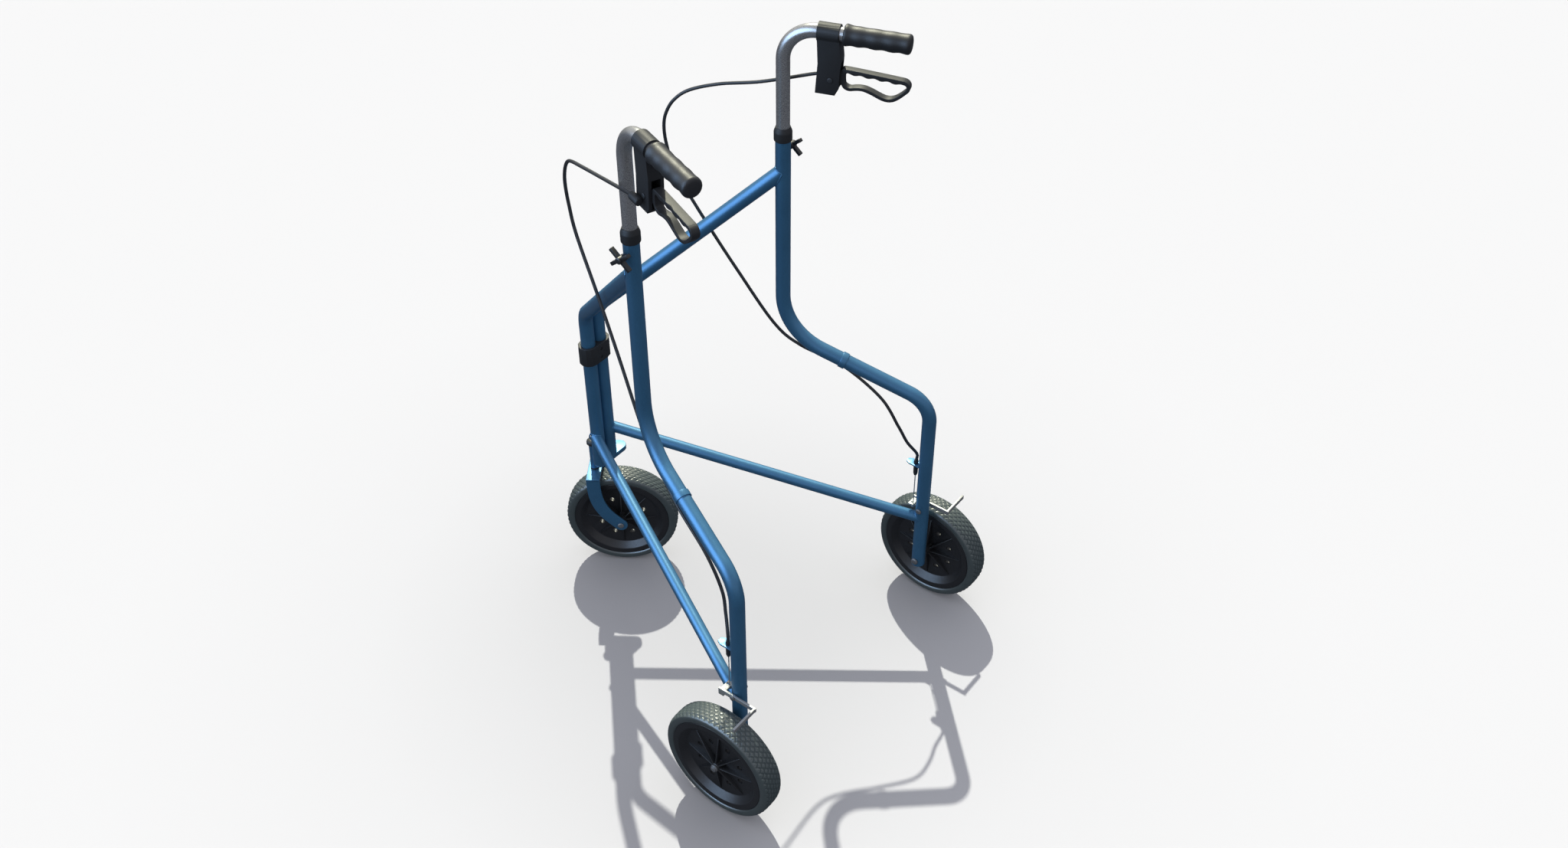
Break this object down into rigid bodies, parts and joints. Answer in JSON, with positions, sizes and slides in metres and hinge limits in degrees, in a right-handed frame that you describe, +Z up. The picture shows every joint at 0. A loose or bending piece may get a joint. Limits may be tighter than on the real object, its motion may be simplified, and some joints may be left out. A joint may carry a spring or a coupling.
{
  "type": "three-wheeled folding walker",
  "caption": "Folding tube-frame walker on spoked wheels, with a swivelling front caster, height-adjustable handles and loop levers that pull rear-wheel brakes by cable.",
  "frame": {"origin": "on the floor, under the middle of the footprint", "axes": "+Z up; the user stands at +Y and walks towards -Y; +X is the user's left"},
  "size_m": [0.5738, 0.6088, 0.9661],
  "materials": {
    "frame_paint": "satin blue metallic lacquer",
    "handle_metal": "satin grey",
    "steel": "zinc plated",
    "black_plastic": "fine grain",
    "grip_rubber": "smooth soft grip",
    "tyre_rubber": "dark grey with lozenge tread",
    "cable_sheath": "smooth black sheath"
  },
  "bodies": {
    "head": {"post_clamp": "black_plastic", "clamp_screw_upper": "steel", "clamp_screw_lower": "steel", "head_plate": "frame_paint", "head_base": "frame_paint", "left_hinge_bolt": "steel", "right_hinge_bolt": "steel", "stem_housing": "frame_paint", "stem_cap": "black_plastic", "stem_bearing": "black_plastic"},
    "fork": {"fork": "frame_paint", "front_axle_bolt": "steel", "front_axle_nut": "steel"},
    "front_wheel": {"front_wheel_rim": "black_plastic", "front_wheel_tyre": "tyre_rubber"},
    "left_frame": {"left_arm_tube": "frame_paint", "left_leg_tube": "frame_paint", "left_brace_tube": "frame_paint", "left_collar": "black_plastic", "left_cable_stop": "frame_paint", "left_cable_clip": "frame_paint", "left_cable": "cable_sheath", "left_cable_ferrule": "black_plastic", "left_axle_bolt": "steel", "left_axle_nut": "steel", "left_brake_pivot_bolt": "steel"},
    "left_handle": {"left_handle_tube": "handle_metal", "left_grip": "grip_rubber", "left_lever_housing": "black_plastic", "left_cable_barrel": "black_plastic", "left_lever_pin": "steel"},
    "left_lever": {"left_brake_lever": "black_plastic"},
    "left_knob": {"left_height_knob": "black_plastic"},
    "left_wire": {"left_brake_wire": "steel"},
    "left_brake": {"left_brake_arm": "steel"},
    "left_wheel": {"left_wheel_rim": "black_plastic", "left_wheel_tyre": "tyre_rubber"},
    "right_frame": {"right_arm_tube": "frame_paint", "right_leg_tube": "frame_paint", "right_brace_tube": "frame_paint", "right_collar": "black_plastic", "right_cable_stop": "frame_paint", "right_cable_clip": "frame_paint", "right_cable": "cable_sheath", "right_cable_ferrule": "black_plastic", "right_axle_bolt": "steel", "right_axle_nut": "steel", "right_brake_pivot_bolt": "steel"},
    "right_handle": {"right_handle_tube": "handle_metal", "right_grip": "grip_rubber", "right_lever_housing": "black_plastic", "right_cable_barrel": "black_plastic", "right_lever_pin": "steel"},
    "right_lever": {"right_brake_lever": "black_plastic"},
    "right_knob": {"right_height_knob": "black_plastic"},
    "right_wire": {"right_brake_wire": "steel"},
    "right_brake": {"right_brake_arm": "steel"},
    "right_wheel": {"right_wheel_rim": "black_plastic", "right_wheel_tyre": "tyre_rubber"}
  },
  "joints": [
    {"name": "caster_swivel", "type": "hinge", "parent": "head", "child": "fork", "pos_m": [0, -0.2545, 0.19], "axis": [0, 0, 1], "continuous": true},
    {"name": "front_wheel_spin", "type": "hinge", "parent": "fork", "child": "front_wheel", "pos_m": [-0.0218, -0.22337, 0.0895], "axis": [0.8192, 0.5736, 0], "continuous": true},
    {"name": "left_fold", "type": "hinge", "parent": "head", "child": "left_frame", "pos_m": [0.0115, -0.2293, 0.35], "axis": [0, 0, 1], "range_deg": [0, 24]},
    {"name": "left_height", "type": "slide", "parent": "left_frame", "child": "left_handle", "axis": [0, 0, 1], "range_m": [-0.09, 0.05], "deforming": ["left_cable"]},
    {"name": "left_knob_turn", "type": "hinge", "parent": "left_frame", "child": "left_knob", "pos_m": [0.1496, 0.0058, 0.778], "axis": [1, 0, 0], "continuous": true},
    {"name": "left_lever_squeeze", "type": "hinge", "parent": "left_handle", "child": "left_lever", "pos_m": [0.17254, 0.06555, 0.893], "axis": [0.9336, -0.3584, 0], "range_deg": [0, 13.75], "stiffness_Nm_per_rad": 1.5, "springref_deg": -5.73},
    {"name": "left_brake_turn", "type": "hinge", "parent": "left_frame", "child": "left_brake", "pos_m": [0.2384, 0.2155, 0.1965], "axis": [-1, 0, 0], "range_deg": [0, 31]},
    {"name": "left_wire_pull", "type": "slide", "parent": "left_frame", "child": "left_wire", "axis": [0, 0, 1], "range_m": [0, 0.0078]},
    {"name": "left_wheel_spin", "type": "hinge", "parent": "left_frame", "child": "left_wheel", "pos_m": [0.2635, 0.2155, 0.0895], "axis": [1, 0, 0], "continuous": true},
    {"name": "right_fold", "type": "hinge", "parent": "head", "child": "right_frame", "pos_m": [-0.0115, -0.2293, 0.35], "axis": [0, 0, -1], "range_deg": [0, 24]},
    {"name": "right_height", "type": "slide", "parent": "right_frame", "child": "right_handle", "axis": [0, 0, 1], "range_m": [-0.09, 0.05], "deforming": ["right_cable"]},
    {"name": "right_knob_turn", "type": "hinge", "parent": "right_frame", "child": "right_knob", "pos_m": [-0.1496, 0.0058, 0.778], "axis": [1, 0, 0], "continuous": true},
    {"name": "right_lever_squeeze", "type": "hinge", "parent": "right_handle", "child": "right_lever", "pos_m": [-0.17254, 0.06555, 0.893], "axis": [0.9336, 0.3584, 0], "range_deg": [0, 13.75], "stiffness_Nm_per_rad": 1.5, "springref_deg": -5.73},
    {"name": "right_brake_turn", "type": "hinge", "parent": "right_frame", "child": "right_brake", "pos_m": [-0.2384, 0.2155, 0.1965], "axis": [-1, 0, 0], "range_deg": [0, 31]},
    {"name": "right_wire_pull", "type": "slide", "parent": "right_frame", "child": "right_wire", "axis": [0, 0, 1], "range_m": [0, 0.0078]},
    {"name": "right_wheel_spin", "type": "hinge", "parent": "right_frame", "child": "right_wheel", "pos_m": [-0.2635, 0.2155, 0.0895], "axis": [1, 0, 0], "continuous": true}
  ],
  "couplings": [
    {"joint": "left_brake_turn", "follows": "left_lever_squeeze", "ratio": 2.2542},
    {"joint": "left_wire_pull", "follows": "left_lever_squeeze", "m_per_rad": 0.032497},
    {"joint": "right_brake_turn", "follows": "right_lever_squeeze", "ratio": 2.2542},
    {"joint": "right_wire_pull", "follows": "right_lever_squeeze", "m_per_rad": 0.032497}
  ]
}
